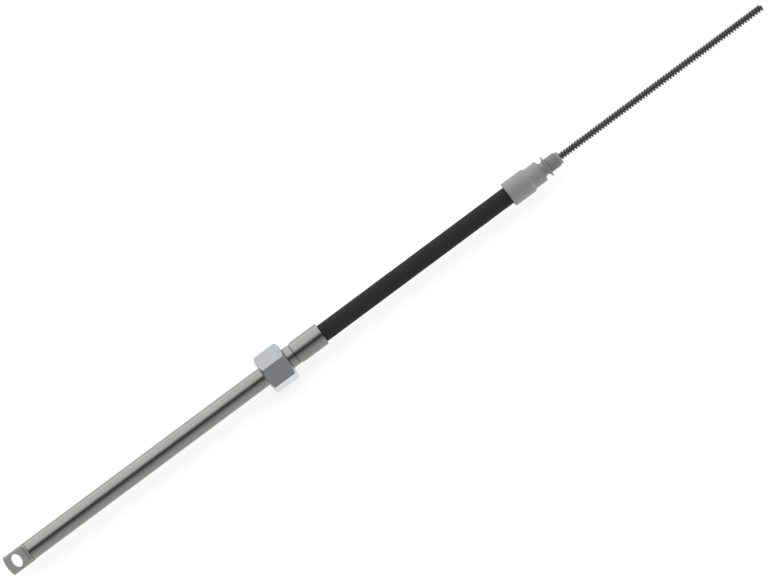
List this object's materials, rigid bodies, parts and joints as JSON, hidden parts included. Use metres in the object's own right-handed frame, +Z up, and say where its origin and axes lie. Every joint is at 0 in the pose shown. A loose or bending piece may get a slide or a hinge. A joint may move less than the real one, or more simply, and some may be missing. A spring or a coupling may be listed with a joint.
{
  "type": "boat steering cable",
  "caption": "Straight boat control cable with a sliding ram and eye end, hex coupling nut, black conduit, helm fitting and wound drive core.",
  "frame": {"origin": "on the cable's centre line, halfway along its length", "axes": "+X along the cable from the eye end to the free end of the wound core, +Z up as the cable lies on one flat of its nut"},
  "size_m": [0.7042, 0.033, 0.0286],
  "materials": {
    "stainless": "polished",
    "eye_steel": "satin",
    "plated_steel": "bright zinc plated",
    "jacket": "smooth matt",
    "fitting_grey": "matt grey phosphate",
    "sleeve": "matt",
    "core_steel": "oiled"
  },
  "bodies": {
    "cable": {"conduit_ferrule": "stainless", "guide_tube": "stainless", "conduit": "jacket", "helm_fitting": "fitting_grey", "nose_sleeve": "sleeve"},
    "core": {"core_strand": "core_steel", "core_winding": "core_steel"},
    "ram": {"ram_tube": "stainless", "eye_end": "eye_steel"},
    "nut": {"coupling_nut": "plated_steel"}
  },
  "joints": [
    {"name": "ram_stroke", "type": "slide", "parent": "cable", "child": "core", "axis": [-1, 0, 0], "range_m": [0, 0.15]},
    {"name": "ram_turn", "type": "hinge", "parent": "core", "child": "ram", "pos_m": [-0.3, 0, 0], "axis": [1, 0, 0], "continuous": true},
    {"name": "nut_turn", "type": "hinge", "parent": "cable", "child": "nut", "pos_m": [-0.1, 0, 0], "axis": [1, 0, 0], "continuous": true}
  ]
}
